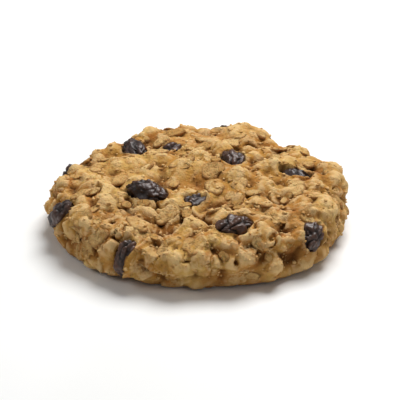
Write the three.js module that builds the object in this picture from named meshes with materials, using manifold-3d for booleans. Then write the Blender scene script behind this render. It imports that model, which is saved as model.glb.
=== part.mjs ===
// An oatmeal raisin cookie that lies on its flat base, in millimetres, +Z up.
// The origin is the middle of the base. The dough is one solid with its oat flakes
// fused on, and each raisin is a solid of its own in a pocket that it fits with a gap.

import * as THREE from "three";
import { mergeVertices } from "three/addons/utils/BufferGeometryUtils.js";
import Module from "manifold-3d";

const wasm = await Module();
wasm.setup();

// The baked round of dough.
const DIAMETER = 75;
const SHOULDER_Z = 13; // where the top begins to roll over the rim
const WIDEST_Z = 5.6; // height of the widest part of the rim
const SHOULDER_ROLL = 9; // how far in from the rim the shoulder lies
const FOOT_ROLL = 4; // how far in from the rim the base ends
const DOME = 1.4; // rise of the middle over the shoulder
const SHOULDER_SHARE = 0.31; // of the way from the widest part to the middle of the top
const FOOT_SHARE = 0.16; // of the way from the widest part to the middle of the base
const GRID = 42; // cells across the top
const FOOT_RINGS = 3; // rows of cells between the widest part and the flat of the base

// The round is uneven: each wave has its count, its height and where it peaks.
const OUTLINE = [
  { waves: 2, height: 0.8, peak: 20 },
  { waves: 3, height: 0.7, peak: 75 },
  { waves: 5, height: 0.55, peak: 12 },
  { waves: 8, height: 0.3, peak: 30 },
];

// The craggy crust: broad mounds, with smaller knobs on them.
const MOUNDS = { size: 11, height: 5.4, seed: 11 };
const KNOBS = { size: 5, height: 3.8, seed: 23 };
const MIDDLING = 0.59; // the share of its height that the crust reaches on average
const CREASE = 9; // how sharply two mounds meet
const TILT = 0.55; // how far the top leans

// Rolled oats, pressed flat.
const FLAKES = 70;
const FLAKE = { length: 6.2, width: 4.4, thickness: 1.2, proud: -0.1, sides: 7, lean: 7, seed: 71 };
const FLAKE_CLEAR = 1.5; // how far their middles keep from a raisin's, in its half sizes
const LOWEST_FLAKE = 0.02; // as `inward` below
const STEEPEST = 0.87; // cosine of the crust's lean past which no flake lies

// Raisins. `at` is the direction from the middle and `out` the share of the way from
// the middle of the face to the widest part; `turn` is the direction of the long axis
// and `lift` how far the raisin's middle stands over the smooth dough.
const RAISINS = [
  { at: -72, out: 0.66, length: 10, width: 7.4, turn: 12, lift: -0.3 },
  { at: 4, out: 0.59, length: 9, width: 6.4, turn: 70, lift: -0.8 },
  { at: 45, out: 0.29, length: 11, width: 7.6, turn: -35, lift: -0.2 },
  { at: 112, out: 0.49, length: 8.6, width: 6.2, turn: 20, lift: -1 },
  { at: 135, out: 0.63, length: 10.4, width: 7, turn: 75, lift: -0.3 },
  { at: 198, out: 0.9, length: 9.6, width: 6.8, turn: 60, lift: -1.2 },
  { at: -40, out: 0.9, length: 9, width: 6.8, turn: 25, lift: -1 },
  { at: -119, out: 0.95, length: 10.4, width: 6.6, turn: 82, lift: -1 },
  { at: 214, out: 0.37, length: 12, width: 8, turn: 30, lift: 0 },
  { at: 78, out: 0.88, length: 9.8, width: 7, turn: 10, lift: -1.1 },
  { at: 158, out: 0.97, length: 8.6, width: 6.4, turn: 80, lift: -1.4 },
  { at: -95, out: 0.33, length: 7.8, width: 5.8, turn: 65, lift: -1 },
  { at: 30, out: -0.45, length: 10, width: 7, turn: 50, lift: -1.2 },
  { at: 165, out: -0.6, length: 9, width: 6.6, turn: -20, lift: -1.2 },
  { at: -80, out: -0.3, length: 8.4, width: 6, turn: 5, lift: -1.2 },
];
const RAISIN_DEPTH = 0.86; // of the width
const POCKET_GAP = 0.35;
const COLLAR = { reach: 1.45, height: 0.35 }; // the dough is drawn up round a raisin
const FOLDS = 6; // wrinkles round a raisin
const FOLD_DEPTH = 0.22;
const RAISIN_ROWS = 5;
const FLUSH_Z = 0.2; // raisins in the base stop this far above it

const GOLDEN_ANGLE = Math.PI * (3 - Math.sqrt(5));
const STEP = 0.07; // a short step on the dough, as `inward`, and in radians at the rim

const rad = THREE.MathUtils.degToRad;
const smooth = THREE.MathUtils.smoothstep;

// A repeatable number from 0 to 1 for three whole numbers and a seed.
function draw(i, j, k, seed) {
  let h = Math.imul(i, 0x8da6b343) ^ Math.imul(j, 0xd8163841);
  h ^= Math.imul(k, 0xcb1ab31f) ^ Math.imul(seed, 0x165667b1);
  h = Math.imul(h ^ (h >>> 15), 0x2c1b3c6d);
  h = Math.imul(h ^ (h >>> 12), 0x297a2d39);
  return ((h ^ (h >>> 15)) >>> 0) / 2 ** 32;
}

// Rounded mounds, one about a point in each cell of a grid, each one cell in radius: up
// to 1 on a crest, and 0 where no mound reaches.
function mounds(p, { size, seed }) {
  const cell = p.clone().divideScalar(size);
  const [x, y, z] = cell.toArray().map(Math.floor);
  const middle = new THREE.Vector3();
  let sum = 1;
  for (let i = x - 1; i <= x + 1; i++)
    for (let j = y - 1; j <= y + 1; j++)
      for (let k = z - 1; k <= z + 1; k++) {
        middle.set(draw(i, j, k, seed), draw(i, j, k, seed + 1), draw(i, j, k, seed + 2));
        middle.add({ x: i, y: j, z: k });
        const rise = 0.55 + 0.45 * draw(i, j, k, seed + 3);
        const nearby = Math.max(1 - middle.distanceToSquared(cell), 0);
        sum += Math.exp(CREASE * rise * nearby) - 1;
      }
  return Math.log(sum) / CREASE;
}

// How far the rim's widest part lies from the middle in one direction.
function rimRadius(angle) {
  const waves = OUTLINE.map((w) => w.height * Math.cos(w.waves * (angle - rad(w.peak))));
  return waves.reduce((sum, wave) => sum + wave, DIAMETER / 2);
}

// A point of the smooth round and the way its surface faces. `inward` is 0 at the widest
// part of the rim, 1 at the middle of the top and -1 at the middle of the base.
function smoothDough(inward, angle) {
  const share = inward >= 0 ? SHOULDER_SHARE : FOOT_SHARE;
  const roll = inward >= 0 ? SHOULDER_ROLL : FOOT_ROLL;
  const rise = inward >= 0 ? SHOULDER_Z - WIDEST_Z : -WIDEST_Z;
  const past = Math.min(Math.abs(inward) / share, 1); // 1 where the roll ends
  const flat = Math.max((Math.abs(inward) - share) / (1 - share), 0); // 1 in the middle
  const turn = (past * Math.PI) / 2;
  const out = (rimRadius(angle) - roll) * (1 - flat) + roll * Math.cos(turn);
  const dome = inward > 0 ? DOME * Math.sin((flat * Math.PI) / 2) ** 2 : 0;
  const away = new THREE.Vector3(Math.cos(angle), Math.sin(angle), 0);
  const facing = away.clone().multiplyScalar(Math.cos(turn));
  facing.z = Math.sign(rise) * Math.sin(turn);
  const point = away.multiplyScalar(out);
  point.z = WIDEST_Z + rise * Math.sin(turn) + dome;
  return { point, facing };
}

// A frame whose third axis faces out of the dough, and whose first is `turn` degrees round
// from the level direction along the rim.
function frameFor(facing, angle, turn) {
  const level = new THREE.Vector3(-Math.sin(angle), Math.cos(angle), 0);
  const along = level.projectOnPlane(facing).normalize().applyAxisAngle(facing, rad(turn));
  const across = facing.clone().cross(along);
  return new THREE.Matrix4().makeBasis(along, across, facing);
}

// Each raisin with its half sizes, and the matrix that places it.
const raisins = RAISINS.map((raisin, index) => {
  const inward = Math.sign(raisin.out) * (1 - Math.abs(raisin.out));
  const { point, facing } = smoothDough(inward, rad(raisin.at));
  const middle = point.addScaledVector(facing, raisin.lift);
  const depth = raisin.width * RAISIN_DEPTH;
  const half = new THREE.Vector3(raisin.length, raisin.width, depth).divideScalar(2);
  const place = frameFor(facing, rad(raisin.at), raisin.turn).setPosition(middle);
  return { index, half, place, unplace: place.clone().invert() };
});

// How near a point lies to a raisin: under 1 is inside it.
function nearness(point, raisin) {
  return point.clone().applyMatrix4(raisin.unplace).divide(raisin.half).length();
}

// How far the crust stands over the smooth dough at a point of it. The crags fade out on
// the base and give way to a collar round each raisin.
function relief(point, inward) {
  const crags = [MOUNDS, KNOBS].map((kind) => kind.height * (mounds(point, kind) - MIDDLING));
  const lean = TILT * (Math.sin(0.07 * point.x + 0.8) + Math.cos(0.08 * point.y - 0.6));
  const nearest = Math.min(...raisins.map((raisin) => nearness(point, raisin)));
  const away = smooth(nearest, 1, COLLAR.reach);
  const height = (crags[0] + crags[1]) * away + COLLAR.height * (1 - away) + lean;
  return height * smooth(inward, -FOOT_SHARE, 0);
}

function crust(inward, angle) {
  const { point, facing } = smoothDough(inward, angle);
  return point.addScaledVector(facing, relief(point, inward));
}

// The plane that the crust keeps to about a place: its middle and the way it faces, from
// four points of the crust a short step away, and the cosine of its lean on the smooth dough.
function crustPlane(inward, angle) {
  const turn = STEP / Math.max(1 - inward, 2 * STEP);
  const [left, right] = [-turn, turn].map((step) => crust(inward, angle + step));
  const [low, high] = [-STEP, STEP].map((step) => crust(inward + step, angle));
  const middle = left.clone().add(right).add(low).add(high).divideScalar(4);
  const facing = right.sub(left).cross(high.sub(low)).normalize();
  return { middle, facing, upright: facing.dot(smoothDough(inward, angle).facing) };
}

// A closed geometry as a solid that can be joined and cut.
function solidOf(geometry) {
  const bare = new THREE.BufferGeometry();
  bare.setAttribute("position", geometry.getAttribute("position"));
  bare.setIndex(geometry.index);
  const merged = mergeVertices(bare, 1e-4);
  const vertProperties = merged.getAttribute("position").array;
  const triVerts = new Uint32Array(merged.index.array);
  return new wasm.Manifold(new wasm.Mesh({ numProp: 3, vertProperties, triVerts }));
}

function geometryOf(solid) {
  const { vertProperties, triVerts } = solid.getMesh();
  const geometry = new THREE.BufferGeometry();
  geometry.setAttribute("position", new THREE.BufferAttribute(vertProperties, 3));
  geometry.setIndex(new THREE.BufferAttribute(triVerts, 1));
  geometry.computeVertexNormals();
  return geometry;
}

// The top, from its middle to the widest part, on a square grid whose rings are pulled
// out into circles. Each cell is split along the line that points to the middle.
function topSheet() {
  const points = [];
  const triangles = [];
  for (let row = 0; row <= GRID; row++)
    for (let column = 0; column <= GRID; column++) {
      const x = (2 * column) / GRID - 1;
      const y = (2 * row) / GRID - 1;
      const steep = Math.abs(y) > Math.abs(x);
      const ring = Math.max(Math.abs(x), Math.abs(y));
      const start = steep ? Math.sign(y) * 90 : x < 0 ? 180 : 0;
      const slope = ring === 0 ? 0 : steep ? -x / y : y / x;
      points.push(crust(1 - ring, rad(start + 45 * slope)));
      if (row === GRID || column === GRID) continue;
      const [a, d] = [row, row + 1].map((line) => line * (GRID + 1) + column);
      const inLine = (x + 1 / GRID) * (y + 1 / GRID) > 0;
      if (inLine) triangles.push(a, a + 1, d + 1, a, d + 1, d);
      else triangles.push(a, a + 1, d, a + 1, d + 1, d);
    }
  return { points, triangles };
}

// The underside: rings from the widest part to the edge of the flat, then its middle.
function baseSheet() {
  const spokes = 4 * GRID;
  const points = [];
  const triangles = [];
  for (let ring = 0; ring <= FOOT_RINGS; ring++)
    for (let spoke = 0; spoke < spokes; spoke++) {
      const angle = (spoke / spokes) * 2 * Math.PI;
      points.push(crust((-FOOT_SHARE * ring) / FOOT_RINGS, angle));
      const next = (spoke + 1) % spokes;
      const [a, b] = [ring * spokes + spoke, ring * spokes + next];
      if (ring === FOOT_RINGS) triangles.push(a, (ring + 1) * spokes, b);
      else triangles.push(a, a + spokes, b, b, a + spokes, b + spokes);
    }
  points.push(new THREE.Vector3());
  return { points, triangles };
}

// The two sheets share the ring of points at the widest part.
function roundGeometry() {
  const [top, base] = [topSheet(), baseSheet()];
  const geometry = new THREE.BufferGeometry();
  geometry.setFromPoints([...top.points, ...base.points]);
  const under = base.triangles.map((corner) => corner + top.points.length);
  geometry.setIndex([...top.triangles, ...under]);
  return geometry;
}

// One rolled oat: a thin oval with a sloping edge, leaning a little on the crust. The
// flakes spiral out from the middle of the top, so that they cover it evenly.
function flakeGeometry(index) {
  const dice = (throwNumber) => draw(index, throwNumber, 0, FLAKE.seed);
  const share = Math.sqrt((index + 0.2 + 0.6 * dice(0)) / FLAKES);
  const inward = THREE.MathUtils.lerp(1, LOWEST_FLAKE, share);
  const angle = index * GOLDEN_ANGLE + 0.5 * dice(1);
  const { middle, facing, upright } = crustPlane(inward, angle);
  middle.addScaledVector(facing, FLAKE.proud);
  const size = 0.7 + 0.5 * dice(3);
  const lean = [4, 5].map((throwNumber) => rad(FLAKE.lean) * (2 * dice(throwNumber) - 1));
  const flake = new THREE.CylinderGeometry(0.42, 0.5, 1, FLAKE.sides);
  flake.rotateX(Math.PI / 2);
  flake.scale(size * FLAKE.length, size * FLAKE.width, FLAKE.thickness);
  flake.rotateX(lean[0]).rotateY(lean[1]);
  flake.applyMatrix4(frameFor(facing, angle, 360 * dice(2)).setPosition(middle));
  return { middle, upright, flake };
}

// A raisin: an egg with folds along it that deepen towards its ends. With a gap it is
// the smooth pocket that the raisin lies in.
function raisinGeometry({ index, half, place }, gap = 0) {
  const egg = new THREE.SphereGeometry(1, 2 * FOLDS, RAISIN_ROWS);
  egg.rotateZ(-Math.PI / 2);
  const position = egg.getAttribute("position");
  const p = new THREE.Vector3();
  for (let i = 0; i < position.count; i++) {
    p.fromBufferAttribute(position, i);
    const around = Math.atan2(p.z, p.y) + 0.5 * Math.sin(2 * p.x + index);
    const fold = (1 - Math.cos(FOLDS * around + index)) / 2;
    const shrink = gap ? 1 : 1 - FOLD_DEPTH * fold * (0.4 + 0.6 * Math.abs(p.x));
    p.y *= shrink;
    p.z *= shrink;
    p.multiply(half.clone().addScalar(gap)).applyMatrix4(place);
    if (!gap) p.z = Math.max(p.z, FLUSH_Z);
    position.setXYZ(i, ...p);
  }
  return egg;
}

// The dough: the round, its flakes, and a pocket for each raisin. A flake that would
// cross a raisin or stand on a steep side is left out, and a scrap cut loose by a pocket
// is dropped.
function doughGeometry() {
  const flakes = Array.from({ length: FLAKES }, (_, index) => flakeGeometry(index))
    .filter(({ upright }) => upright > STEEPEST)
    .filter(({ middle }) => raisins.every((raisin) => nearness(middle, raisin) > FLAKE_CLEAR))
    .map(({ flake }) => solidOf(flake));
  const pockets = raisins.map((raisin) => solidOf(raisinGeometry(raisin, POCKET_GAP)));
  const solid = wasm.Manifold.union([solidOf(roundGeometry()), ...flakes]);
  const pieces = solid.subtract(wasm.Manifold.union(pockets)).decompose();
  pieces.sort((a, b) => b.volume() - a.volume());
  return geometryOf(pieces[0]);
}

const doughMaterial = new THREE.MeshStandardMaterial({
  name: "baked_dough",
  color: 0xc69a5c,
  roughness: 0.8,
  metalness: 0,
});
const raisinMaterial = new THREE.MeshStandardMaterial({
  name: "raisin_skin",
  color: 0x2e201d,
  roughness: 0.45,
  metalness: 0,
});

const cookie = new THREE.Group();
cookie.name = "oatmeal_raisin_cookie";

const dough = new THREE.Mesh(doughGeometry(), doughMaterial);
dough.name = "dough";
cookie.add(dough);

for (const raisin of raisins) {
  const mesh = new THREE.Mesh(raisinGeometry(raisin), raisinMaterial);
  mesh.name = `raisin_${String(raisin.index + 1).padStart(2, "0")}`;
  cookie.add(mesh);
}

export default cookie;
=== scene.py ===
"""An oatmeal raisin cookie: a craggy round of baked dough with rolled oats, crumbs and raisins."""

import math

import bpy
import numpy as np
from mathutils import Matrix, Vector


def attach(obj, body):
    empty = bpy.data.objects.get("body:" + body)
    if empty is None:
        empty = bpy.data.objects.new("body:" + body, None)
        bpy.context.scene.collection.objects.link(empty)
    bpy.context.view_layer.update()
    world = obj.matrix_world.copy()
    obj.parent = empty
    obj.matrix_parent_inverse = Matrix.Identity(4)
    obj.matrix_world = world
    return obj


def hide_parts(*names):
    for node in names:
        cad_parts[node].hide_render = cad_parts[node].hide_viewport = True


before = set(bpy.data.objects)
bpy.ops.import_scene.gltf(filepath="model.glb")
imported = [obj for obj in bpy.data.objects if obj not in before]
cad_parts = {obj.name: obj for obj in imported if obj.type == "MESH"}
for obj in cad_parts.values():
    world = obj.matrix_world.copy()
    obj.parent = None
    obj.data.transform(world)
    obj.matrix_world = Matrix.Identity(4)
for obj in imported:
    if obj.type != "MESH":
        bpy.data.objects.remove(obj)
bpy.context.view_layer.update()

MM = 0.001  # shapes are worked out in millimetres, and meshes are in metres
TINY = 1e-9  # keeps a length from being 0 where it divides

# The baked round of dough, in millimetres.
DIAMETER = 75
SHOULDER_Z = 13  # where the top begins to roll over the rim
WIDEST_Z = 5.6  # height of the widest part of the rim
SHOULDER_ROLL = 9  # how far in from the rim the shoulder lies
FOOT_ROLL = 4  # how far in from the rim the base ends
DOME = 1.4  # rise of the middle over the shoulder
SHOULDER_SHARE = 0.31  # of the way from the widest part to the middle of the top
FOOT_SHARE = 0.16  # of the way from the widest part to the middle of the base
OUTLINE = [(2, 0.8, 20), (3, 0.7, 75), (5, 0.55, 12), (8, 0.3, 30)]  # waves, height, peak
TILT = 0.55  # height of each of the two long waves that the top leans by
TILT_ALONG = (0.07, 0.8)  # their radians for each millimetre, and in the middle
TILT_ACROSS = (0.08, -0.6)
GRID = 220  # cells across the top, and across the base
BLURS = (8, 52, 190)  # rounds of blurring that set the three widths of hollow
SEAM_SHARE = 0.05  # of the way in from the rim over which top and base share their hollows

# Crags: the size and height of the mounds, and their seed.
MOUNDS = (11, 5.4, 11)
KNOBS = (5, 3.8, 23)
LUMPS = (3.3, 2.2, 31)
GRAINS = (1.25, 0.6, 47)
MIDDLING = 0.59  # the share of its height that a crust of mounds reaches on average
CREASE = 9  # how sharply two mounds meet

# Pits: the size of the cells that may hold one, their seed, the share of them that do, the
# least and the greatest radius, and the depth.
WIDE_PITS = (6.5, 61, 0.5, 0.6, 1.6, 1.9)
SMALL_PITS = (2.6, 67, 0.12, 0.25, 0.6, 0.45)
BASE_PITS = (3.6, 89, 0.6, 0.3, 1.2, 0.8)
# Cracks: the size of the cells that they run between, their seed, the width and the depth.
WIDE_CRACKS = (10, 73, 1, 2)
FINE_CRACKS = (5, 79, 0.45, 0.8)
BASE_CRACKS = (8, 97, 0.5, 0.5)
WARP_SEEDS = (101, 102, 103)  # of the noise that bends the fine forms along each axis

# Rolled oats, pressed flat: how many places are tried, their seed, the sizes of an oat, how
# far its middle stands over the crust, the lowest place as `inward` below, and how far each
# keeps from a raisin's middle, in the raisin's half sizes.
WHOLE_OATS = {
    "count": 70, "seed": 71, "length": 6.2, "width": 4.4, "thickness": 1.2,
    "proud": -0.1, "lowest": 0.02, "clear": 1.5,
}
# Broken oats, too small for the solid.
BROKEN_OATS = {
    "count": 130, "seed": 83, "length": 3.8, "width": 2.6, "thickness": 0.7,
    "proud": -0.12, "lowest": -0.06, "clear": 1.08,
}
# Oats under the skin of the dough, which they lift and show through.
BURIED_OATS = {
    "count": 400, "seed": 91, "length": 5.2, "width": 3.6, "thickness": 0,
    "proud": 0, "lowest": -1, "clear": 1.3,
}
BURIED_LIFT = 0.5  # how far they lift it
OAT_LEAN = 7  # degrees an oat leans at most
STEEPEST = 0.87  # cosine of the crust's lean past which no oat lies
GOLDEN_ANGLE = math.pi * (3 - math.sqrt(5))
STEP = 0.07  # a short step on the dough, as `inward`, and in radians at the rim
# An oat's rings: how far out and how far up each one lies, in the oat's half sizes.
OAT_RINGS = [(0.3, 0.4), (0.58, 0.42), (0.8, 0.38), (0.94, 0.28), (1, 0), (0.96, -0.2), (0.7, -0.5)]
OAT_POLES = (0.24, -0.5)  # how far up its first and its last pole lie
WHOLE_SPOKES = 24
BROKEN_SPOKES = 10

# Raisins: direction from the middle and share of the way out to the widest part (negative
# on the base), length and width, direction of the long axis, and height over the dough.
RAISINS = [
    (-72, 0.66, 10, 7.4, 12, -0.3),
    (4, 0.59, 9, 6.4, 70, -0.8),
    (45, 0.29, 11, 7.6, -35, -0.2),
    (112, 0.49, 8.6, 6.2, 20, -1),
    (135, 0.63, 10.4, 7, 75, -0.3),
    (198, 0.9, 9.6, 6.8, 60, -1.2),
    (-40, 0.9, 9, 6.8, 25, -1),
    (-119, 0.95, 10.4, 6.6, 82, -1),
    (214, 0.37, 12, 8, 30, 0),
    (78, 0.88, 9.8, 7, 10, -1.1),
    (158, 0.97, 8.6, 6.4, 80, -1.4),
    (-95, 0.33, 7.8, 5.8, 65, -1),
    (30, -0.45, 10, 7, 50, -1.2),
    (165, -0.6, 9, 6.6, -20, -1.2),
    (-80, -0.3, 8.4, 6, 5, -1.2),
]
RAISIN_DEPTH = 0.86  # of the width
RAISIN_RINGS = 60
RAISIN_SPOKES = 84
FOLDS = 6  # wrinkles round a raisin
FOLD_DEPTH = 0.22  # as a share of its half width
FLUSH_Z = 0.2  # raisins in the base stop this far above it
COLLAR_REACH = 1.45  # how far the collar of dough round a raisin reaches, in half sizes
COLLAR_HEIGHT = 0.35  # over the smooth dough
HUG_REACH = 1.35  # the dough is drawn in to a raisin from this far, in half sizes
HUG_GAP = 0.02  # and stops this far from it

# Raisins that the dough laps over: their place in RAISINS, the side that the dough comes
# from, in degrees, and how far from the raisin's middle its hem is, in half sizes. The
# other measures of a lap are in half sizes too.
LAPS = {1: (109, 0.5), 3: (198, 0.3), 6: (330, 0.4), 7: (260, 0.35), 11: (19, 0.25)}
NO_LAP = (0, 9)
LAP_RISE = 0.13  # how far the lapping dough stands off the raisin
LAP_CORE = 0.65  # radius of the ball that fills the cup under a lap
HEM_SWAY = 0.25  # how far the hem wanders
HEM = (-0.25, 0.2)  # past the hem's line: where the lap begins, and where it is whole
CORE_HEM = (-0.6, -0.25)  # the same for the filled cup under it
LAP_FLOOR = (-0.8, -0.5)  # heights over which dough beside the raisin comes to join the lap

CRUMBS = 1200
CRUMB_SIZES = (0.25, 0.65)  # half widths, in millimetres
CRUMB_SPOKES = 5
CRUMB_SHAPE = (1.25, 0.9, 0.7)  # a crumb is longer than it is thick
CRUMB_REACH = 1.06  # how far down they lie, where 1 is the widest part of the rim
CRUMB_CLEAR = 1.04  # how far they keep from a raisin's middle, in its half sizes

# Tones of the baked dough, as the eye sees them, from 0 to 255.
GOLD = (182, 132, 58)
STRAW = (206, 165, 93)
TOAST = (166, 104, 42)
TAN = (172, 112, 48)
# Painted shade for wide hollows.
PAINTED_VALLEY_SHADE = (148, 92, 34)
# Painted highlights for wide rises, ridges and crests.
PAINTED_RISE_HIGHLIGHT = (222, 184, 114)
PAINTED_RIDGE_HIGHLIGHT = (225, 188, 122)
PAINTED_CREST_HIGHLIGHT = (234, 202, 150)
TRAY_GOLD = (186, 132, 72)  # the base, which lay on a tray
TRAY_BROWN = (150, 94, 44)
TRAY_EDGE = (134, 80, 36)
# Painted shade for large hollows and fine creases.
PAINTED_HOLLOW_SHADE = (98, 57, 14)
PAINTED_CREASE_SHADE = (80, 45, 10)
SPECK = (140, 92, 45)
PALE_SPECK = (228, 194, 134)
# Painted shade in and round the cups where raisins lie.
PAINTED_CUP_SHADE = (92, 56, 30)
COVERED_OAT = (216, 182, 128)
# Oats and crumbs: the darkest and the palest shade of each kind, and what marks them.
OAT_SHADES = ((196, 150, 84), (220, 183, 122))
OAT_BLOTCH = (178, 126, 62)
OAT_EDGE = (140, 88, 38)
DOUGH_FILM = (192, 144, 76)
BRAN = (136, 86, 38)
CRUMB_SHADES = ((196, 146, 78), (224, 186, 124))
CRUMB_BLOTCH = (164, 112, 54)
# Raisins and the table.
RAISIN_SHADES = ((64, 40, 32), (90, 57, 40))
RAISIN_BLOTCH = (40, 24, 20)
# Painted shade in a raisin's wrinkles.
PAINTED_WRINKLE_SHADE = (22, 12, 9)
DUST = (150, 118, 92)
TABLE_SHADES = ((238, 238, 236), (243, 243, 242))
SOFT_CRUMB = {"Subsurface_Weight": 0.08, "Subsurface_Scale": 0.002}  # light goes a little way in

# The studio, in degrees and millimetres.
TABLE_HALF = 1500
# Lamps: azimuth, elevation, distance, size, and power in watts.
LAMPS = {
    "key_lamp": (150, 62, 520, 380, 3.6),
    "side_lamp": (-75, 40, 520, 260, 0.5),
    "front_lamp": (20, 35, 600, 500, 0.3),
}
LAMP_TARGET = (0, 0, 8)
AIR_GLOW = 0.1  # strength of the even light from all round
CAMERA_PLACE = (0, 27, 385)  # azimuth, elevation, distance
CAMERA_TARGET = (0, 0, 7)
CAMERA_LENS = 135


def smooth(value, low, high):
    """An ease from 0 at low to 1 at high: three times the square less twice the cube."""
    t = np.clip((value - low) / (high - low), 0, 1)
    return t * t * (3 - 2 * t)


def draw(i, j, k, seed):
    """Repeatable numbers from 0 to 1: three arrays of whole numbers and a seed, multiplied
    by large odd numbers, combined, and stirred by two rounds of shifting and multiplying."""
    word = np.uint32
    i, j, k = (np.atleast_1d(numbers).astype(word) for numbers in (i, j, k))
    h = i * word(0x8DA6B343) ^ j * word(0xD8163841)
    h = h ^ k * word(0xCB1AB31F) ^ word(seed * 0x165667B1 & 0xFFFFFFFF)
    h = (h ^ (h >> word(15))) * word(0x2C1B3C6D)
    h = (h ^ (h >> word(12))) * word(0x297A2D39)
    return (h ^ (h >> word(15))) / 2.0**32


def mounds(points, size, seed):
    """Rounded mounds, one about a drawn point in each cell of a grid and one cell in radius:
    the logarithm of 1 plus, for each of the 27 cells round a point, the exponential of the
    mound's own rise times 1 less the squared distance to its middle, less 1."""
    cell = points / size
    corner = np.floor(cell).astype(np.int64)
    total = np.ones(len(points))
    for step in np.ndindex(3, 3, 3):
        here = corner + np.array(step) - 1
        i, j, k = here.T
        middle = here + np.stack([draw(i, j, k, seed + n) for n in range(3)], 1)
        nearby = np.maximum(1 - ((middle - cell) ** 2).sum(1), 0)
        rise = 0.55 + 0.45 * draw(i, j, k, seed + 3)
        total += np.exp(CREASE * rise * nearby) - 1
    return np.log(total) / CREASE


def crags(points, *kinds):
    """The summed heights of some kinds of mounds, less their average."""
    return sum(height * (mounds(points, size, seed) - MIDDLING) for size, height, seed in kinds)


def noise(points, size, seed):
    """Smooth noise from -1 to 1: a number drawn at each corner of a grid of cells, blended
    over the eight corners round a point with eased shares."""
    cell = points / size
    corner = np.floor(cell).astype(np.int64)
    t = smooth(cell - corner, 0, 1)
    total = np.zeros(len(points))
    for step in np.ndindex(2, 2, 2):
        share = np.prod(np.where(np.array(step) == 1, t, 1 - t), axis=1)
        total += share * draw(*(corner + np.array(step)).T, seed)
    return 2 * total - 1


def cells(points, size, seed):
    """Distances, in millimetres, to the nearest and second nearest of the points drawn one
    to each cell of a grid, and a number drawn for the nearest one's cell."""
    cell = points / size
    corner = np.floor(cell).astype(np.int64)
    first = np.full(len(points), 9.0)
    second = first.copy()
    lot = np.zeros(len(points))
    for step in np.ndindex(3, 3, 3):
        here = corner + np.array(step) - 1
        i, j, k = here.T
        middle = here + np.stack([draw(i, j, k, seed + n) for n in range(3)], 1)
        distance = np.sqrt(((middle - cell) ** 2).sum(1))
        nearer = distance < first
        second = np.where(nearer, first, np.minimum(second, distance))
        lot = np.where(nearer, draw(i, j, k, seed + 3), lot)
        first = np.where(nearer, distance, first)
    return first * size, second * size, lot


# ---------------------------------------------------------------- the round of dough


def rim_radius(angle):
    """Half the diameter, and a cosine for each wave of the outline."""
    radius = DIAMETER / 2
    return radius + sum(
        height * np.cos(count * (angle - math.radians(peak))) for count, height, peak in OUTLINE
    )


def smooth_dough(inward, angle):
    """Points of the smooth round and the way it faces there. `inward` is 0 at the widest
    part of the rim, 1 at the middle of the top and -1 at the middle of the base. A quarter
    of an ellipse rolls from the widest part to the shoulder or to the foot, and a straight
    line, domed on the top by a squared sine, runs from there to the middle."""
    top = inward >= 0
    share = np.where(top, SHOULDER_SHARE, FOOT_SHARE)
    roll = np.where(top, SHOULDER_ROLL, FOOT_ROLL)
    rise = np.where(top, SHOULDER_Z - WIDEST_Z, -WIDEST_Z)
    past = np.minimum(np.abs(inward) / share, 1)
    flat = np.maximum((np.abs(inward) - share) / (1 - share), 0)
    turn = past * math.pi / 2
    out = (rim_radius(angle) - roll) * (1 - flat) + roll * np.cos(turn)
    dome = np.where(top, DOME * np.sin(flat * math.pi / 2) ** 2, 0)
    z = WIDEST_Z + rise * np.sin(turn) + dome
    away = np.stack([np.cos(angle), np.sin(angle)], -1)
    points = np.concatenate([away * out[:, None], z[:, None]], 1)
    upward = np.sign(rise) * np.sin(turn)
    facing = np.concatenate([away * np.cos(turn)[:, None], upward[:, None]], 1)
    return points, facing


def frames_for(facing, angle, turn):
    """Three directions at each point: the level one along the rim, laid on the surface and
    turned by `turn` degrees about the way it faces, the one across that, and the facing."""
    level = np.stack([-np.sin(angle), np.cos(angle), np.zeros_like(angle)], 1)
    level -= (level * facing).sum(1, keepdims=True) * facing
    level /= np.linalg.norm(level, axis=1, keepdims=True)
    turn = np.radians(turn)[:, None]
    along = level * np.cos(turn) + np.cross(facing, level) * np.sin(turn)
    return np.stack([along, np.cross(facing, along), facing], 1)


def raisin_beds():
    """The middle, the three directions and the half sizes of every raisin."""
    at, out, length, width, turn, lift = np.array(RAISINS, float).T
    angle = np.radians(at)
    points, facing = smooth_dough(np.sign(out) * (1 - np.abs(out)), angle)
    middles = points + facing * lift[:, None]
    halves = np.stack([length, width, width * RAISIN_DEPTH], 1) / 2
    return list(zip(middles, frames_for(facing, angle, turn), halves))


RAISIN_BEDS = raisin_beds()


def raisin_nearness(points):
    """For each raisin, the length of a point's place in it counted in half sizes: under 1 is
    inside. One row for each raisin."""
    return np.stack([
        np.linalg.norm((points - middle) @ axes.T / half, axis=1)
        for middle, axes, half in RAISIN_BEDS
    ])


def relief(points, inward):
    """How far the crust stands over the smooth dough: mounds and knobs less their average,
    giving way to a collar round each raisin, and a lean of two long waves. It fades out
    between the widest part and the base."""
    along, start = TILT_ALONG
    across, start_across = TILT_ACROSS
    waves = np.sin(along * points[:, 0] + start) + np.cos(across * points[:, 1] + start_across)
    away = smooth(raisin_nearness(points).min(0), 1, COLLAR_REACH)
    height = crags(points, MOUNDS, KNOBS) * away + COLLAR_HEIGHT * (1 - away) + TILT * waves
    return height * smooth(inward, -FOOT_SHARE, 0)


def crust(inward, angle):
    """The smooth dough moved out along its facing by the relief."""
    points, facing = smooth_dough(inward, angle)
    return points + facing * relief(points, inward)[:, None]


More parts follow.
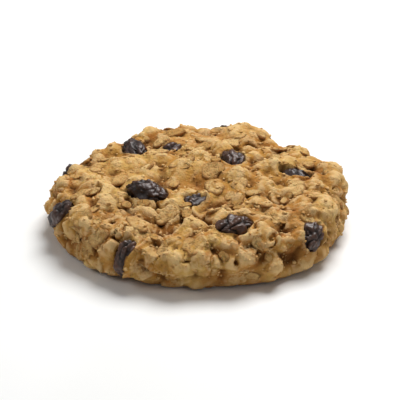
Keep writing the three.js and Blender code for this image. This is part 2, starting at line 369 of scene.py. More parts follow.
def crust_plane(inward, angle):
    """The plane that the crust keeps to about a place: the average of four points of it a
    short step away, and the cross product of the lines between them. Also the cosine of
    its lean on the smooth dough."""
    turn = STEP / np.maximum(1 - inward, 2 * STEP)
    left, right = crust(inward, angle - turn), crust(inward, angle + turn)
    low, high = crust(inward - STEP, angle), crust(inward + STEP, angle)
    facing = np.cross(right - left, high - low)
    facing /= np.linalg.norm(facing, axis=1, keepdims=True)
    upright = (facing * smooth_dough(inward, angle)[1]).sum(1)
    return (left + right + low + high) / 4, facing, upright


# ---------------------------------------------------------------- raisins in their beds


def fold_shrink(x, y, z, index):
    """How far a raisin's skin is drawn in: by FOLD_DEPTH where a cosine of the way round
    its long axis, twisted along it, is lowest, and more towards the ends."""
    around = np.arctan2(z, y) + 0.5 * np.sin(2 * x + index)
    fold = (1 - np.cos(FOLDS * around + index)) / 2
    return 1 - FOLD_DEPTH * fold * (0.4 + 0.6 * np.abs(x))


def hug(reach):
    """Lengths between 1 and HUG_REACH drawn in to just over 1, the shortest the most: a
    square of how far along they are."""
    way = (reach - 1) / (HUG_REACH - 1)
    drawn = 1 + HUG_GAP + (HUG_REACH - 1 - HUG_GAP) * way**2
    return np.where((way > 0) & (way < 1), drawn, reach)


def ball_height(radius, level):
    """How high a ball's surface stands over its middle, at a level distance from it: the
    root of the squared radius less the squared distance, and 0 outside it."""
    return np.sqrt(np.maximum(radius**2 - level**2, 0))


def bed_heights(q, points, under, index):
    """The height of the dough about a raisin, in its half sizes, where the raisin is a ball.
    Under the ball the dough lines the lower half, just off it. Past the hem of a lap it
    fills the cup up to a small core and is then draped over the ball, a little rough. Also
    gives how surely each point is in the lap, from 0 to 1."""
    level = np.hypot(q[:, 0], q[:, 1])
    lining = -ball_height(1 + HUG_GAP, level)
    core = ball_height(LAP_CORE, level)
    rough = LAP_RISE * (1 + 0.5 * noise(points, size=1.1, seed=263))
    drape = np.maximum(q[:, 2], ball_height(1 + rough, level))
    side, hem = LAPS.get(index, NO_LAP)
    side = math.radians(side)
    along = q[:, 0] * math.cos(side) + q[:, 1] * math.sin(side)
    past = along - hem - HEM_SWAY * noise(points, size=2.6, seed=257)
    over = smooth(past, *HEM) * np.where(under, 1, smooth(q[:, 2], *LAP_FLOOR))
    bed = np.where(under, lining + (core - lining) * smooth(past, *CORE_HEM), q[:, 2])
    return bed + (drape - bed) * over, over


def bed_raisins(points):
    """Presses a cup for each raisin into the crust. Points near it are counted in its half
    sizes, with its folds pulled out, so that it is a ball. Those over the lower half drop
    onto it, and those a little way off are drawn in to hug it, by their level distance
    first and then by their full length. Also gives how deep in a cup each point lies, from
    0 to 1."""
    points = points.copy()
    depth = np.zeros(len(points))
    for index, (middle, axes, half) in enumerate(RAISIN_BEDS):
        near = np.flatnonzero(((points - middle) ** 2).sum(1) < (2 * half[0]) ** 2)
        q = (points[near] - middle) @ axes.T / half
        length = np.linalg.norm(q, axis=1) + TINY
        shrink = fold_shrink(q[:, 0] / length, q[:, 1], q[:, 2], index)
        q[:, 1:] /= shrink[:, None]
        level = np.hypot(q[:, 0], q[:, 1]) + TINY
        under = (level < 1) & (q[:, 2] > -ball_height(1, level))
        q[:, :2] *= np.where(under, 1, hug(level) / level)[:, None]
        length = np.linalg.norm(q, axis=1) + TINY
        q *= np.where(under, 1, hug(length) / length)[:, None]
        q[:, 2], over = bed_heights(q, points[near], under, index)
        # The cup's depth only feeds painted shade in the dough's finish: full under a raisin, a
        # little round it.
        cup = np.where(under, 1, 0.3 * smooth(length, 1.3, 1)) * (1 - over)
        depth[near] = np.maximum(depth[near], cup)
        q[:, 1:] *= shrink[:, None]
        points[near] = (q * half) @ axes + middle
    return points, depth


# ---------------------------------------------------------------- rolled oats


class Oats:
    """Where rolled oats lie: on spirals out from the middle of the top, each one leaning a
    little on the crust. A point's share of the way down is the square root of its number's
    share of the count, so that they cover the crust evenly. Those that would lie too near
    a raisin or on a steep side are left out. An oat's lots are drawn numbers for its looks."""

    def __init__(self, count, seed, length, width, thickness, proud, lowest, clear):
        index = np.arange(count)
        dice = [draw(index, n, 0, seed) for n in range(9)]
        share = np.sqrt((index + 0.2 + 0.6 * dice[0]) / count)
        inward = 1 + (lowest - 1) * share
        angle = index * GOLDEN_ANGLE + 0.5 * dice[1]
        middle, facing, upright = crust_plane(inward, angle)
        middle += facing * proud
        keep = (raisin_nearness(middle).min(0) > clear) & (upright > STEEPEST)
        scale = (0.7 + 0.5 * dice[3])[:, None]
        scales = np.concatenate([scale, scale, np.ones_like(scale)], 1)
        self.middle = middle[keep]
        self.axes = frames_for(facing, angle, 360 * dice[2])[keep]
        self.half = (np.array([[length, width, thickness]]) * scales)[keep] / 2
        self.lots = np.stack(dice[3:9], 1)[keep]
        self.lean = np.radians(OAT_LEAN) * (2 * np.stack(dice[4:6], 1) - 1)[keep]

    def __iter__(self):
        """The middle, the three directions, the half sizes and the lots of each oat."""
        return zip(self.middle, self.axes, self.half, self.lots)


WHOLE_BEDS = Oats(**WHOLE_OATS)
BROKEN_BEDS = Oats(**BROKEN_OATS)
BURIED_BEDS = Oats(**BURIED_OATS)


def buried_oats(points):
    """How far the oats under the skin lift it, in millimetres: an uneven oval table with an
    eased edge, tipped so that one side runs out into the dough, and creased along its
    middle. Also gives how near each point is to one, from 0 to 1."""
    lift = np.zeros(len(points))
    shown = np.zeros(len(points))
    for middle, axes, half, lots in BURIED_BEDS:
        near = np.flatnonzero(((points - middle) ** 2).sum(1) < (1.6 * half[0]) ** 2)
        q = (points[near] - middle) @ axes.T / [half[0], half[1], 1]
        turn = np.arctan2(q[:, 1], q[:, 0])
        ragged = 1 + 0.08 * np.cos(3 * turn + 6 * lots[1]) + 0.06 * np.cos(5 * turn + 6 * lots[2])
        level = np.hypot(q[:, 0], q[:, 1]) * ragged
        table = smooth(level, 1.1, 0.88)
        tip = 0.55 + 0.45 * (q[:, 0] * np.cos(6 * lots[3]) + q[:, 1] * np.sin(6 * lots[3]))
        crease = 0.3 * np.exp(-((q[:, 1] / 0.14) ** 2)) * smooth(np.abs(q[:, 0]), 0.9, 0.4)
        height = table * (tip - crease) * BURIED_LIFT * (0.6 + 0.6 * lots[0])
        lift[near] = np.maximum(lift[near], height)
        shown[near] = np.maximum(shown[near], table * smooth(tip, 0.1, 0.7))
    return lift, shown


def oat_cover(points):
    """How surely each point lies under a whole oat, from 0 to 1: by the length of its place
    in the oat counted in half sizes."""
    cover = np.zeros(len(points))
    for middle, axes, half, _ in WHOLE_BEDS:
        near = np.flatnonzero(((points - middle) ** 2).sum(1) < (2 * half[0]) ** 2)
        q = (points[near] - middle) @ axes.T
        level = np.hypot(q[:, 0] / half[0], q[:, 1] / half[1])
        cover[near] = np.maximum(cover[near], smooth(level, 1.3, 0.85))
    return cover


# ---------------------------------------------------------------- the fine crust


def pits(points, size, seed, share, least, greatest, depth):
    """Round pits: where a cell's number is under `share`, a bowl that is deepest in its
    middle and runs out, by a squared distance, at a radius between the least and greatest."""
    first, _, lot = cells(points, size, seed)
    radius = least + (greatest - least) * lot / share
    return depth * np.where(lot < share, np.maximum(1 - (first / radius) ** 2, 0), 0)


def cracks(points, size, seed, width, depth):
    """Cracks along the borders of cells, where the two nearest middles are equally far, and
    only where a broad noise and a narrower one are high."""
    first, second, _ = cells(points, size, seed)
    broad = smooth(noise(points, 1.7 * size, seed + 9), -0.1, 0.35)
    narrow = smooth(noise(points, 0.5 * size, seed + 18), -0.4, 0.1)
    return depth * (broad * narrow * smooth(second - first, width, 0))


def fine_relief(points, inward):
    """The small forms that lie on the relief, in millimetres, and how much each point shows
    an oat. On the top: lumps and grains in rough patches, pits and cracks, all weaker under
    an oat and next to a raisin, and the lift of buried oats. On the base: pits, cracks and
    dips, which only go inwards, and a little of that lift. A noise bends every form, and
    the one side gives way to the other between the widest part and the foot."""
    warp = np.stack(
        [noise(points, 4, seed) + 0.5 * noise(points, 1.8, seed + 10) for seed in WARP_SEEDS], 1
    )
    wobbly = points + 0.9 * warp
    twisted = points + 1.6 * warp
    patch = smooth(noise(points, size=13, seed=113), -0.25, 0.3)
    lumps = crags(wobbly, LUMPS, GRAINS)
    lumps *= 0.22 + 0.78 * np.maximum(patch, 0.7 * smooth(inward, 0.5, 0.3))
    pitted = pits(wobbly, *WIDE_PITS) + pits(wobbly, *SMALL_PITS)
    cracked = cracks(twisted, *WIDE_CRACKS) + cracks(wobbly, *FINE_CRACKS)
    calm = 1 - 0.45 * smooth(raisin_nearness(points).min(0), 1.25, 1)
    covered = oat_cover(points)
    lift, shown = buried_oats(points)
    lumps = lumps * (1 - 0.25 * covered) * (1 - 0.5 * shown)
    holes = (pitted + cracked) * (1 - np.maximum(covered, 0.8 * shown))
    top = (lumps - holes) * calm + lift
    dimples = 0.3 * (1 - mounds(wobbly, size=3.4, seed=107))
    dips = 0.5 * smooth(noise(points, size=9, seed=109), 0.1, 0.6)
    base = -pits(wobbly, *BASE_PITS) - cracks(twisted, *BASE_CRACKS)
    base -= dimples + dips
    base += 0.4 * (lift - BURIED_LIFT)
    side = inward + 0.05 * noise(points, size=5, seed=131)
    share = smooth(side, -FOOT_SHARE, -0.25 * FOOT_SHARE)
    return top * share + base * (1 - share), shown * (0.5 + 0.5 * share)


def fine_crust(inward, angle):
    """The crust with its fine forms and its cups for raisins, how far it stands over the
    smooth dough, how deep in a cup each point lies, and how much it shows an oat. Nothing
    goes under the base."""
    points, facing = smooth_dough(inward, angle)
    broad = relief(points, inward)
    fine, shown = fine_relief(points + facing * broad[:, None], inward)
    height = broad + fine
    points = points + facing * height[:, None]
    points, cup = bed_raisins(points)
    points[:, 2] = np.maximum(points[:, 2], 0)
    return points, height, cup, shown


# ---------------------------------------------------------------- meshes


def make_piece(name, points, faces, values):
    """A smooth-shaded mesh of points in millimetres, with an attribute for each set of
    values, riding on the cookie's one body."""
    mesh = bpy.data.meshes.new(name)
    mesh.from_pydata((points * MM).tolist(), [], faces)
    mesh.shade_smooth()
    for label, numbers in values.items():
        attribute = mesh.attributes.new(label, "FLOAT", "POINT")
        attribute.data.foreach_set("value", numbers.astype(np.float32))
    piece = bpy.data.objects.new(name, mesh)
    bpy.context.scene.collection.objects.link(piece)
    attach(piece, "root")
    return piece


def skin_faces(copies, rings, spokes):
    """Faces of closed skins, each a first pole, rings of points and a last pole: quads
    between the rings, and a fan of triangles at each pole."""
    ring, spoke = np.meshgrid(np.arange(rings - 1), np.arange(spokes), indexing="ij")
    after = (spoke + 1) % spokes
    a, b = 1 + ring * spokes + spoke, 1 + ring * spokes + after
    quads = np.stack([a, a + spokes, b + spokes, b], -1).reshape(-1, 4)
    first = np.arange(spokes) + 1
    follow = first % spokes + 1
    last = (rings - 1) * spokes
    pole = 0 * first
    end = pole + rings * spokes + 1
    start_cap = np.stack([pole, first, follow], 1)
    end_cap = np.stack([end, last + follow, last + first], 1)
    caps = np.concatenate([start_cap, end_cap])
    step = (rings * spokes + 2) * np.arange(copies)[:, None, None]
    return (quads + step).reshape(-1, 4).tolist() + (caps + step).reshape(-1, 3).tolist()


def disc_grid(cells_across):
    """A square grid whose rings are pulled out into circles: for each point how far in it
    lies, from 0 on the edge to 1 in the middle, and its direction from the middle."""
    line = np.linspace(-1, 1, cells_across + 1)
    x, y = np.meshgrid(line, line)
    ring = np.maximum(np.abs(x), np.abs(y))
    steep = np.abs(y) > np.abs(x)
    start = np.where(steep, np.sign(y) * 90, np.where(x < 0, 180, 0))
    with np.errstate(divide="ignore", invalid="ignore"):
        slope = np.where(ring == 0, 0, np.where(steep, -x / y, y / x))
    return 1 - ring, np.radians(start + 45 * slope)


def blurred(field, times):
    """A square field averaged with its neighbours along both ways, over and over."""
    for _ in range(times):
        for axis in (0, 1):
            margins = [(1, 1) if way == axis else (0, 0) for way in (0, 1)]
            wide = np.pad(field, margins, mode="edge")
            before = np.take(wide, range(0, len(field)), axis)
            after = np.take(wide, range(2, len(field) + 2), axis)
            field = (before + 2 * field + after) / 4
    return field


def hollowness(height):
    """How hollow a square field of heights is at three widths. The first two are the heights
    blurred a little and blurred more, each less the heights themselves, and the third is
    the heights blurred most less those blurred more."""
    little = blurred(height, BLURS[0])
    more = blurred(little, BLURS[1])
    return little - height, more - height, blurred(more, BLURS[2]) - more


def make_dough():
    """The dough: a disc grid over the top and one under the base, sharing the ring of points
    at the widest part, both moved to the fine crust. Next to that ring each side's
    hollowness runs into the other's, because neither can be blurred across it."""
    ring_in, angle = disc_grid(GRID)
    sides = (1, -1)
    skins = [fine_crust(side * ring_in.ravel(), angle.ravel()) for side in sides]
    hollows = np.stack([hollowness(height.reshape(ring_in.shape)) for _, height, _, _ in skins])
    hollows += smooth(ring_in, SEAM_SHARE, 0) * (hollows[::-1] - hollows) / 2
    top, base = (
        (points, *hollow.reshape(3, -1), cup, side * ring_in.ravel(), shown)
        for side, hollow, (points, _, cup, shown) in zip(sides, hollows, skins)
    )
    number = np.arange(ring_in.size).reshape(ring_in.shape)
    edge = ring_in.ravel() == 0
    under = np.where(edge, number.ravel(), 0)
    under[~edge] = ring_in.size + np.arange((~edge).sum())
    corners = [number[:-1, :-1], number[:-1, 1:], number[1:, 1:], number[1:, :-1]]
    quads = np.stack(corners, -1).reshape(-1, 4)
    faces = np.concatenate([quads, under[quads][:, ::-1]])
    points, *values = (np.concatenate([a, b[~edge]]) for a, b in zip(top, base))
    labels = ("small_hollow", "large_hollow", "wide_hollow", "cup", "inward", "oat")
    piece = make_piece("baked_dough", points, faces.tolist(), dict(zip(labels, values)))
    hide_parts("dough")
    return piece


def turned(points, first, second, angle):
    """Points turned by an angle for each copy, from the first axis towards the second."""
    cosine, sine = np.cos(angle)[:, None], np.sin(angle)[:, None]
    one, two = points[:, :, first], points[:, :, second]
    points = points.copy()
    points[:, :, first] = one * cosine - two * sine
    points[:, :, second] = one * sine + two * cosine
    return points


def oat_skins(beds, spokes):
    """Flat ovals in rings about their middle: cosines and one split make the edge ragged, a
    crease runs along the top, and a squared distance curls the two ends. Each one is
    scaled, leaned, laid in its bed and made wavy by noise."""
    ring, level = np.array(OAT_RINGS).T[:, :, None]
    turn = np.linspace(0, 2 * math.pi, spokes, endpoint=False)[None]
    lots = beds.lots[:, :, None, None]
    ragged = sum(0.2 / n * np.cos(n * turn + 2 * math.pi * lots[:, n % 5]) for n in (2, 3, 5, 8))
    from_split = (turn - 2 * math.pi * lots[:, 4] + math.pi) % (2 * math.pi) - math.pi
    split = 0.35 * np.exp(-((np.abs(from_split) / 0.25) ** 2)) * ring**3
    reach = 1 + ragged - split
    x, y = ring * np.cos(turn) * reach, ring * np.sin(turn) * reach
    z = level - 0.16 * np.exp(-((y / 0.16) ** 2)) * (level > 0.3)
    rings = np.stack([x, y, z], -1).reshape(len(x), -1, 3)
    first, last = (np.zeros((len(x), 1, 3)) + [0, 0, up] for up in OAT_POLES)
    skin = np.concatenate([first, rings, last], 1)
    curl = 0.6 * (lots[:, 0, :, 0] - 0.4) * skin[:, :, 0] ** 2
    skin = skin * beds.half[:, None] * [1, 1, 2]
    skin[:, :, 2] += curl
    skin = turned(turned(skin, 1, 2, beds.lean[:, 0]), 0, 2, beds.lean[:, 1])
    skin = skin @ beds.axes + beds.middle[:, None]
    wavy = noise(skin.reshape(-1, 3), size=1.3, seed=241).reshape(skin.shape[:2])
    return skin + 0.16 * wavy[:, :, None] * beds.axes[:, 2][:, None]


def make_oats(name, beds, spokes):
    """Rolled oats of one kind, joined into one piece, with each one's shade and how near
    the rim or the underside of it a point lies."""
    skins = oat_skins(beds, spokes)
    copies, count = skins.shape[:2]
    faces = skin_faces(copies, len(OAT_RINGS), spokes)
    out = [ring if up > -0.1 else 1 for ring, up in OAT_RINGS]
    edge = np.concatenate([[0], np.repeat(out, spokes), [1]])
    values = {"shade": np.repeat(beds.lots[:, 1], count), "edge": np.tile(edge, copies)}
    piece = make_piece(name, skins.reshape(-1, 3), faces, values)
    return piece


def raisin_skin(index):
    """A raisin: an egg drawn in by the folds, with finer wrinkles that follow them, laid in
    its bed. Also gives how deep in a wrinkle each point lies. Raisins in the base stop
    short of the table by an uneven height."""
    middle, axes, half = RAISIN_BEDS[index]
    turn = np.linspace(0, math.pi, RAISIN_RINGS + 2)
    around = np.linspace(0, 2 * math.pi, RAISIN_SPOKES, endpoint=False)
    u, v = (grid.ravel() for grid in np.meshgrid(turn[1:-1], around, indexing="ij"))
    x = np.concatenate([[1], np.cos(u), [-1]])
    y = np.concatenate([[0], np.sin(u) * np.cos(v), [0]])
    z = np.concatenate([[0], np.sin(u) * np.sin(v), [0]])
    shrink = fold_shrink(x, y, z, index)
    ball = np.stack([x, y * shrink, z * shrink], 1)
    place = ball * half + 40 * index  # far apart, so that no two raisins are wrinkled alike
    warp = np.stack([noise(place, 2.6, seed) for seed in (201, 202, 203)], 1)
    long_way = (place + 0.8 * warp) * [0.45, 1, 1]
    valley = (1 - np.abs(noise(long_way, size=1.7, seed=211))) ** 4
    crinkle = (1 - np.abs(noise(place + 0.5 * warp, size=0.95, seed=223))) ** 3
    dent = noise(place, size=2.8, seed=227)
    skin = ball * (1 - 0.24 * valley - 0.09 * crinkle + 0.13 * dent)[:, None]
    points = (skin * half) @ axes + middle
    lowest = FLUSH_Z + 0.25 * (1 + noise(place, size=1.5, seed=229))
    points[:, 2] = np.maximum(points[:, 2], lowest)
    return points, np.clip(0.75 * valley + 0.35 * crinkle + 1.6 * (1 - shrink), 0, 1)


def make_raisins():
    """Each raisin as a piece of its own in place of its node."""
    faces = skin_faces(1, RAISIN_RINGS, RAISIN_SPOKES)
    pieces = []
    for index in range(len(RAISINS)):
        points, wrinkle = raisin_skin(index)
        shade = np.full(len(points), draw(index, 0, 0, seed=231)[0])
        values = {"wrinkle": wrinkle, "shade": shade}
        piece = make_piece(f"wrinkled_raisin_{index + 1:02d}", points, faces, values)
        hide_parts(f"raisin_{index + 1:02d}")
        pieces.append(piece)
    return pieces


def make_crumbs():
    """Crumbs baked onto the crust: twelve-cornered grains, each corner at its own distance
    from the middle, flattened, turned and half sunk at drawn places of the fine crust, and
    none on a raisin."""
    index = np.arange(CRUMBS)
    across, around, growth, spin, shade, tip = (draw(index, n, 0, seed=301) for n in range(6))
    inward = 1 - CRUMB_REACH * np.sqrt(across)
    points = fine_crust(inward, 2 * math.pi * around)[0]
    keep = raisin_nearness(points).min(0) > CRUMB_CLEAR
    least, greatest = CRUMB_SIZES
    size = least + (greatest - least) * growth**3
    spoke = 360 / CRUMB_SPOKES
    upper = spoke * np.arange(CRUMB_SPOKES)
    turn = np.radians(np.concatenate([upper, upper + spoke / 2]))
    low, high = 1 / math.sqrt(5), 2 / math.sqrt(5)
    level = np.repeat([low, -low], CRUMB_SPOKES)
    rings = np.stack([high * np.cos(turn), high * np.sin(turn), level], 1)
    corners = np.concatenate([[[0, 0, 1]], rings, [[0, 0, -1]]])
    count = len(corners)
    reach = 0.7 + 0.6 * draw(index[:, None], np.arange(count)[None], 3, seed=307)
    grains = corners[None] * reach[:, :, None] * size[:, None, None] * CRUMB_SHAPE
    grains = turned(turned(grains, 0, 1, 2 * math.pi * spin), 1, 2, tip - 0.5)
    grains = (grains + points[:, None])[keep]
    faces = skin_faces(len(grains), 2, CRUMB_SPOKES)
    values = {"shade": np.repeat(shade[keep], count)}
    piece = make_piece("crumbs", grains.reshape(-1, 3), faces, values)
    return piece


# ---------------------------------------------------------------- finishes


def paint(tone):
    """A colour given as eye values from 0 to 255, in the renderer's own light values."""
    eye = np.array(tone) / 255
    light = np.where(eye > 0.04045, ((eye + 0.055) / 1.055) ** 2.4, eye / 12.92)
    return (*light.tolist(), 1)


class Signal:
    """A socket of a finish. Arithmetic on it adds Math nodes."""

    def __init__(self, finish, socket):
        self.finish = finish
        self.socket = socket

    def work_out(self, operation, *inputs):
        settings = {"operation": operation}
        return self.finish.node("ShaderNodeMath", settings, dict(enumerate(inputs)))

    def __add__(self, other):
        return self.work_out("ADD", self, other)

    def __mul__(self, other):
        return self.work_out("MULTIPLY", self, other)

    def __rsub__(self, other):
        return self.work_out("SUBTRACT", other, self)

    __radd__ = __add__
    __rmul__ = __mul__

    def between(self, low, high):
        """From 0 at low to 1 at high, eased."""
        settings = {"interpolation_type": "SMOOTHSTEP"}
        inputs = {"Value": self, "From Min": low, "From Max": high}
        return self.finish.node("ShaderNodeMapRange", settings, inputs)


class Finish:
    """A node material. Its main shader is ready, and `node` adds any other node."""

    def __init__(self, name, **constants):
        self.material = bpy.data.materials.new(name)
        self.material.use_nodes = True
        self.tree = self.material.node_tree
        self.shader = self.tree.nodes["Principled BSDF"]
        for socket, value in constants.items():
            self.shader.inputs[socket.replace("_", " ")].default_value = value

    def node(self, kind, settings=None, inputs=None, output=0):
        """Adds a node, makes its settings, fills or links its sockets, and gives an output."""
        node = self.tree.nodes.new(kind)
        for setting, value in (settings or {}).items():
            setattr(node, setting, value)
        for socket, value in (inputs or {}).items():
            self.fill(node.inputs[socket], value)
        return Signal(self, node.outputs[output])

    def fill(self, socket, value):
        if isinstance(value, Signal):
            self.tree.links.new(value.socket, socket)
        else:
            socket.default_value = value

    def feed(self, **signals):
        """Links signals to the main shader's sockets."""
        for socket, value in signals.items():
            self.fill(self.shader.inputs[socket.replace("_", " ")], value)

    def attribute(self, name):
        return self.node("ShaderNodeAttribute", {"attribute_name": name}, output="Fac")

    def grain(self, size, detail=2, rough=0.5):
        """A noise whose blotches are about `size` millimetres across."""
        place = self.node("ShaderNodeTexCoord", output="Object")
        inputs = {"Vector": place, "Scale": 1 / (size * MM), "Detail": detail, "Roughness": rough}
        return self.node("ShaderNodeTexNoise", inputs=inputs)

    def pebbles(self, size):
        """Packed round grains `size` millimetres across: 0 in their middles, up to 1."""
        place = self.node("ShaderNodeTexCoord", output="Object")
        inputs = {"Vector": place, "Scale": 1 / (size * MM)}
        return self.node("ShaderNodeTexVoronoi", {"feature": "SMOOTH_F1"}, inputs)

    def mix(self, share, first, second):
        """A colour, `share` of the way from the first to the second."""
        inputs = {0: share, 6: first, 7: second}
        return self.node("ShaderNodeMix", {"data_type": "RGBA"}, inputs, output=2)

    def shades(self, share, pair):
        """A colour between the two tones of a pair."""
        darkest, palest = pair
        return self.mix(share, paint(darkest), paint(palest))

    def bump(self, height, depth, under=None):
        """A bump of a height from 0 to 1 that stands for `depth` millimetres."""
        inputs = {"Height": height, "Distance": depth * MM, "Strength": 1}
        if under is not None:
            inputs["Normal"] = under
        return self.node("ShaderNodeBump", inputs=inputs)


def dough_finish():
    """Baked dough: gold and straw in broad blotches, toasted and tanned in others, with painted
    shade that makes it browner in wide, large and small hollows and painted highlights that
    make it paler on rises, ridges and crests. The base is browner, most of all near its edge.
    Specks and buried oats have their own colours, and the cups have painted shade."""
    finish = Finish("baked_dough", Roughness=0.8, Specular_IOR_Level=0.18, **SOFT_CRUMB)
    small = finish.attribute("small_hollow")
    large = finish.attribute("large_hollow")
    wide = finish.attribute("wide_hollow")
    inward = finish.attribute("inward")
    cup = finish.attribute("cup")
    # The share of painted highlight on small crests.
    crest_highlight_share = (0 - small).between(-0.05, 0.3)
    color = finish.shades(finish.grain(size=11, detail=3).between(0.4, 0.6), (GOLD, STRAW))
    toast = finish.grain(size=6, detail=4, rough=0.6).between(0.46, 0.64)
    rim = inward.between(0.6, 0.25) * inward.between(0.02, 0.15)
    color = finish.mix(toast * (0.6 + 0.25 * rim), color, paint(TOAST))
    tan = finish.grain(size=17).between(0.5, 0.62)
    color = finish.mix(tan * 0.55, color, paint(TAN))
    # Painted shade in wide hollows.
    color = finish.mix(wide.between(0.0, 0.8) * 0.8, color, paint(PAINTED_VALLEY_SHADE))
    # Painted highlights on wide rises, then on ridges and crests.
    color = finish.mix((0 - wide).between(0.1, 0.9) * 0.5, color, paint(PAINTED_RISE_HIGHLIGHT))
    ridge_highlight_share = (0 - large).between(0.1, 1.1)
    color = finish.mix(ridge_highlight_share * 0.45, color, paint(PAINTED_RIDGE_HIGHLIGHT))
    color = finish.mix(crest_highlight_share * 0.45, color, paint(PAINTED_CREST_HIGHLIGHT))
    base = (0 - inward).between(0.02, 0.2)
    scorch = finish.grain(size=8, detail=4, rough=0.6).between(0.42, 0.62)
    tray = finish.shades(scorch, (TRAY_GOLD, TRAY_BROWN))
    ring = (0 - inward).between(0.5, 0.15)
    tray = finish.mix(ring * 0.6, tray, paint(TRAY_EDGE))
    color = finish.mix(base * 0.85, color, tray)
    # Painted shade in large hollows and fine creases.
    color = finish.mix(large.between(0.0, 1.1) * 0.88, color, paint(PAINTED_HOLLOW_SHADE))
    color = finish.mix(small.between(0.1, 0.6) * 0.55, color, paint(PAINTED_CREASE_SHADE))
    specks = finish.grain(size=0.55, rough=0.7).between(0.62, 0.72)
    color = finish.mix(specks * 0.1, color, paint(SPECK))
    pale = finish.grain(size=1.1, rough=0.6).between(0.6, 0.72)
    color = finish.mix(pale * 0.35, color, paint(PALE_SPECK))
    # Painted shade in the cups round the raisins.
    color = finish.mix(cup * 0.8, color, paint(PAINTED_CUP_SHADE))
    oat = finish.attribute("oat")
    flecked = oat * finish.grain(size=1.4, detail=4, rough=0.65).between(0.4, 0.55)
    color = finish.mix(flecked * 0.6, color, paint(COVERED_OAT))
    crumb = finish.bump(finish.grain(size=0.9, detail=3, rough=0.55), depth=0.45)
    granules = finish.bump(1 - finish.pebbles(size=0.9), depth=0.18, under=crumb)
    grit = finish.bump(finish.grain(size=0.3, rough=0.6), depth=0.2, under=granules)
    finish.feed(Base_Color=color, Normal=grit)
    return finish.material


def oat_finish():
    """Rolled oats: pale and matt, each one with its own shade, browner towards the edge and
    in blotches, with a film of dough and specks of bran."""
    finish = Finish("rolled_oats", Roughness=0.74, Specular_IOR_Level=0.25, **SOFT_CRUMB)
    shade = finish.attribute("shade")
    edge = finish.attribute("edge")
    color = finish.shades(shade, OAT_SHADES)
    blotch = finish.grain(size=1.3, detail=4, rough=0.65).between(0.42, 0.6)
    color = finish.mix(blotch * 0.4, color, paint(OAT_BLOTCH))
    color = finish.mix(edge.between(0.7, 1) * 0.6, color, paint(OAT_EDGE))
    film = finish.grain(size=2.4, detail=4, rough=0.6).between(0.5, 0.6)
    color = finish.mix(film * 0.7, color, paint(DOUGH_FILM))
    bran = finish.grain(size=0.5, rough=0.7).between(0.58, 0.7)
    color = finish.mix(bran * 0.5, color, paint(BRAN))
    skin = finish.bump(finish.grain(size=0.8, detail=4, rough=0.65) + 0.4 * film, depth=0.6)
    skin = finish.bump(finish.grain(size=0.3, rough=0.6), depth=0.2, under=skin)
    finish.feed(Base_Color=color, Normal=skin)
    return finish.material


def crumb_finish():
    """Crumbs: the dough's golds, each crumb with its own shade, in small blotches."""
    finish = Finish("crumbs", Roughness=0.8)
    color = finish.shades(finish.attribute("shade"), CRUMB_SHADES)
    blotch = finish.grain(size=0.6, detail=3).between(0.5, 0.7)
    color = finish.mix(blotch * 0.5, color, paint(CRUMB_BLOTCH))
    grit = finish.bump(finish.grain(size=0.3, detail=3), depth=0.1)
    finish.feed(Base_Color=color, Normal=grit)
    return finish.material


def raisin_finish():
    """Raisin skin: a dull purple brown on the ridges and near black in the wrinkles, where the
    dark is painted shade, with a soft sheen that the ridges keep and a dusting of dough."""
    finish = Finish("raisin_skin", Coat_Roughness=0.22)
    wrinkle = finish.attribute("wrinkle")
    shade = finish.attribute("shade")
    color = finish.shades(shade, RAISIN_SHADES)
    blotch = finish.grain(size=2.5, detail=3).between(0.4, 0.65)
    color = finish.mix(blotch * 0.6, color, paint(RAISIN_BLOTCH))
    # Painted shade in the wrinkles.
    color = finish.mix(wrinkle.between(0.2, 0.8) * 0.8, color, paint(PAINTED_WRINKLE_SHADE))
    dust = finish.grain(size=0.9, detail=4, rough=0.7).between(0.6, 0.75) * (1 - wrinkle)
    color = finish.mix(dust * 0.4, color, paint(DUST))
    rough = 0.36 + 0.25 * wrinkle + 0.25 * dust
    skin = finish.bump(finish.grain(size=0.7, detail=4, rough=0.6), depth=0.12)
    sheen = 0.2 * (1 - wrinkle)
    finish.feed(Base_Color=color, Roughness=rough, Normal=skin, Coat_Weight=sheen)
    return finish.material


def table_finish():
    """A pale matt table, very slightly uneven in shade."""
    finish = Finish("pale_floor", Roughness=0.6)
    uneven = finish.grain(size=60).between(0.3, 0.7)
    finish.feed(Base_Color=finish.shades(uneven, TABLE_SHADES))
    return finish.material


# ---------------------------------------------------------------- the studio


def aim(thing, place, target):
    """Puts a lamp or camera at a place and turns it towards a target, both in millimetres."""
    thing.location = Vector(place) * MM
    thing.rotation_euler = (Vector(target) - Vector(place)).to_track_quat("-Z", "Y").to_euler()
    bpy.context.scene.collection.objects.link(thing)


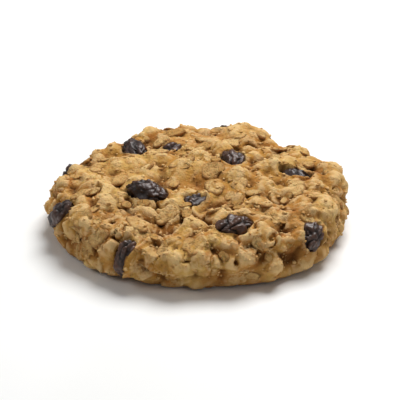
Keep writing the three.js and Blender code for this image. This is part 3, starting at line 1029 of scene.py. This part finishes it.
def place_at(azimuth, elevation, distance, target):
    """A point at a distance from a target. Azimuth 0 is on the near side, -Y."""
    turn, lift = math.radians(azimuth), math.radians(elevation)
    level = math.cos(lift)
    away = np.array([math.sin(turn) * level, -math.cos(turn) * level, math.sin(lift)])
    return tuple(np.array(target) + distance * away)


def add_lamp(name, azimuth, elevation, distance, size, power):
    """A round soft lamp that faces the cookie."""
    lamp = bpy.data.lights.new(name, "AREA")
    lamp.shape = "DISK"
    lamp.size = size * MM
    lamp.energy = power
    place = place_at(azimuth, elevation, distance, LAMP_TARGET)
    aim(bpy.data.objects.new(name, lamp), place, LAMP_TARGET)


def make_table():
    """A pale square floor at the height of the cookie's base."""
    corners = np.array([[-1, -1, 0], [1, -1, 0], [1, 1, 0], [-1, 1, 0]], float) * TABLE_HALF
    mesh = bpy.data.meshes.new("floor")
    mesh.from_pydata((corners * MM).tolist(), [], [(0, 1, 2, 3)])
    table = bpy.data.objects.new("floor", mesh)
    bpy.context.scene.collection.objects.link(table)
    mesh.materials.append(table_finish())


def make_studio():
    """The table, soft lamps, even light all round and a camera with a long lens."""
    make_table()
    for name, settings in LAMPS.items():
        add_lamp(name, *settings)
    world = bpy.data.worlds.new("studio_air")
    world.use_nodes = True
    air = world.node_tree.nodes["Background"]
    air.inputs["Color"].default_value = (1, 1, 1, 1)
    air.inputs["Strength"].default_value = AIR_GLOW
    scene = bpy.context.scene
    scene.world = world
    scene.view_settings.view_transform = "Standard"
    lens = bpy.data.cameras.new("camera")
    lens.lens = CAMERA_LENS
    camera = bpy.data.objects.new("camera", lens)
    aim(camera, place_at(*CAMERA_PLACE, CAMERA_TARGET), CAMERA_TARGET)
    scene.camera = camera


def main():
    """Makes every piece, gives each its finish, and sets up the studio."""
    dough = make_dough()
    dough.data.materials.append(dough_finish())
    oats = oat_finish()
    make_oats("rolled_oats", WHOLE_BEDS, WHOLE_SPOKES).data.materials.append(oats)
    make_oats("broken_oats", BROKEN_BEDS, BROKEN_SPOKES).data.materials.append(oats)
    make_crumbs().data.materials.append(crumb_finish())
    skin = raisin_finish()
    for raisin in make_raisins():
        raisin.data.materials.append(skin)
    make_studio()


main()
